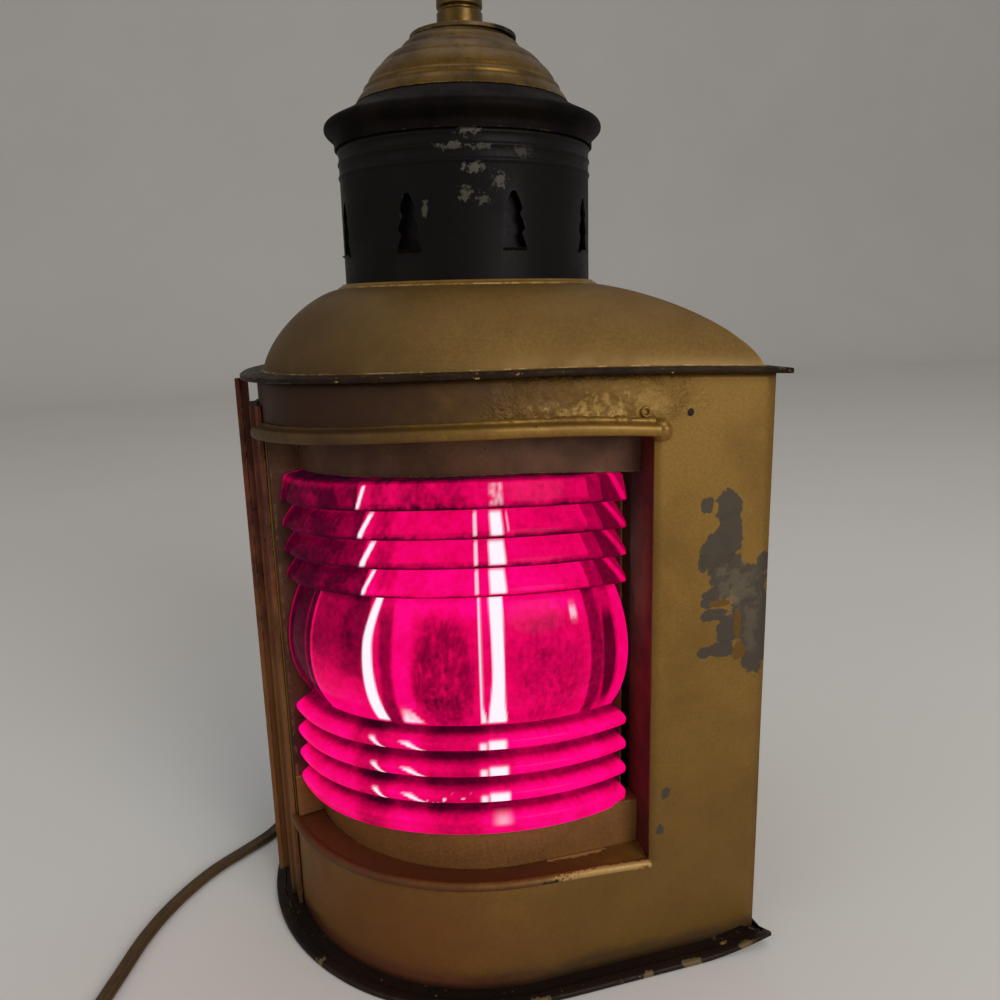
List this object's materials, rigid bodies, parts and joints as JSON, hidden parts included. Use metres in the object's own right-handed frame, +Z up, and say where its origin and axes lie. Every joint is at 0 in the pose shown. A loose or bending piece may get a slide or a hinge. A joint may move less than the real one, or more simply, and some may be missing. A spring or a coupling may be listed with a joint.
{
  "type": "bow lantern",
  "caption": "Round-bowed ship's bow lantern with a red port lens and a blue-green starboard lens, domed roof and vented chimney, wired as a table lamp.",
  "frame": {"origin": "on the underside of the base, on the common axis of the lenses and the chimney", "axes": "+Z up, the bow points to -Y, port is +X, the flat back faces +Y"},
  "size_m": [0.3191, 0.375, 0.3974],
  "materials": {
    "gold_paint": "satin gold paint with rub marks",
    "chipped_gold_paint": "gold paint worn through to a dark edge",
    "black_paint": "satin black paint, chipped",
    "red_glass": "pressed red glass",
    "blue_green_glass": "pressed blue-green glass",
    "clear_glass": "clear blown glass",
    "brass": "aged brass",
    "steel": "dull tinned steel",
    "insulator": "moulded insulating resin",
    "filament": "glass stem and wire",
    "brown_cord": "brown flexible vinyl",
    "black_rubber": "moulded black rubber"
  },
  "bodies": {
    "lantern": {"base_plate": "black_paint", "body_shell": "gold_paint", "back_frame": "gold_paint", "top_plate": "chipped_gold_paint", "roof_dome": "gold_paint", "port_hood": "gold_paint", "starboard_hood": "gold_paint", "port_sill": "gold_paint", "starboard_sill": "gold_paint", "port_jamb": "gold_paint", "starboard_jamb": "gold_paint", "bow_post": "chipped_gold_paint", "bow_fin": "chipped_gold_paint", "lower_lens_band": "gold_paint", "upper_lens_band": "gold_paint", "lens_divider": "chipped_gold_paint", "port_lens": "red_glass", "starboard_lens": "blue_green_glass", "port_lens_strip": "chipped_gold_paint", "starboard_lens_strip": "chipped_gold_paint", "chimney_collar": "gold_paint", "chimney_shell": "black_paint", "chimney_crown": "black_paint", "cap_dome": "gold_paint", "cap_washer": "black_paint", "brass_neck": "brass", "finial": "brass", "neck_nipple": "brass", "neck_nut": "brass", "holder_bracket": "steel", "holder_nipple": "brass", "holder_nut": "brass", "holder_cap": "brass", "holder_shell": "brass", "holder_core": "insulator", "bulb_base": "brass", "bulb_glass": "clear_glass", "bulb_mount": "filament", "frame_hinge_leaves": "brass", "hinge_pins": "steel", "frame_rivets": "steel", "button_stud": "steel", "cord_bushing": "black_rubber", "inner_lead": "brown_cord", "cord_run": "brown_cord", "cord_coil": "brown_cord", "coil_tie": "black_rubber", "plug_body": "black_rubber", "plug_blades": "brass"},
    "door": {"back_door": "gold_paint", "door_hinge_leaves": "brass", "door_rivets": "steel"},
    "button": {"turn_button": "brass"},
    "key": {"turn_key": "insulator"}
  },
  "joints": [
    {"name": "door_hinge", "type": "hinge", "parent": "lantern", "child": "door", "pos_m": [-0.0566, 0.0935, 0.114], "axis": [0, 0, 1], "range_deg": [0, 110]},
    {"name": "button_turn", "type": "hinge", "parent": "lantern", "child": "button", "pos_m": [0.062, 0.0932, 0.114], "axis": [0, 1, 0], "range_deg": [0, 90]},
    {"name": "key_turn", "type": "hinge", "parent": "lantern", "child": "key", "pos_m": [0, 0.029, 0.0432], "axis": [0, 1, 0], "continuous": true}
  ]
}
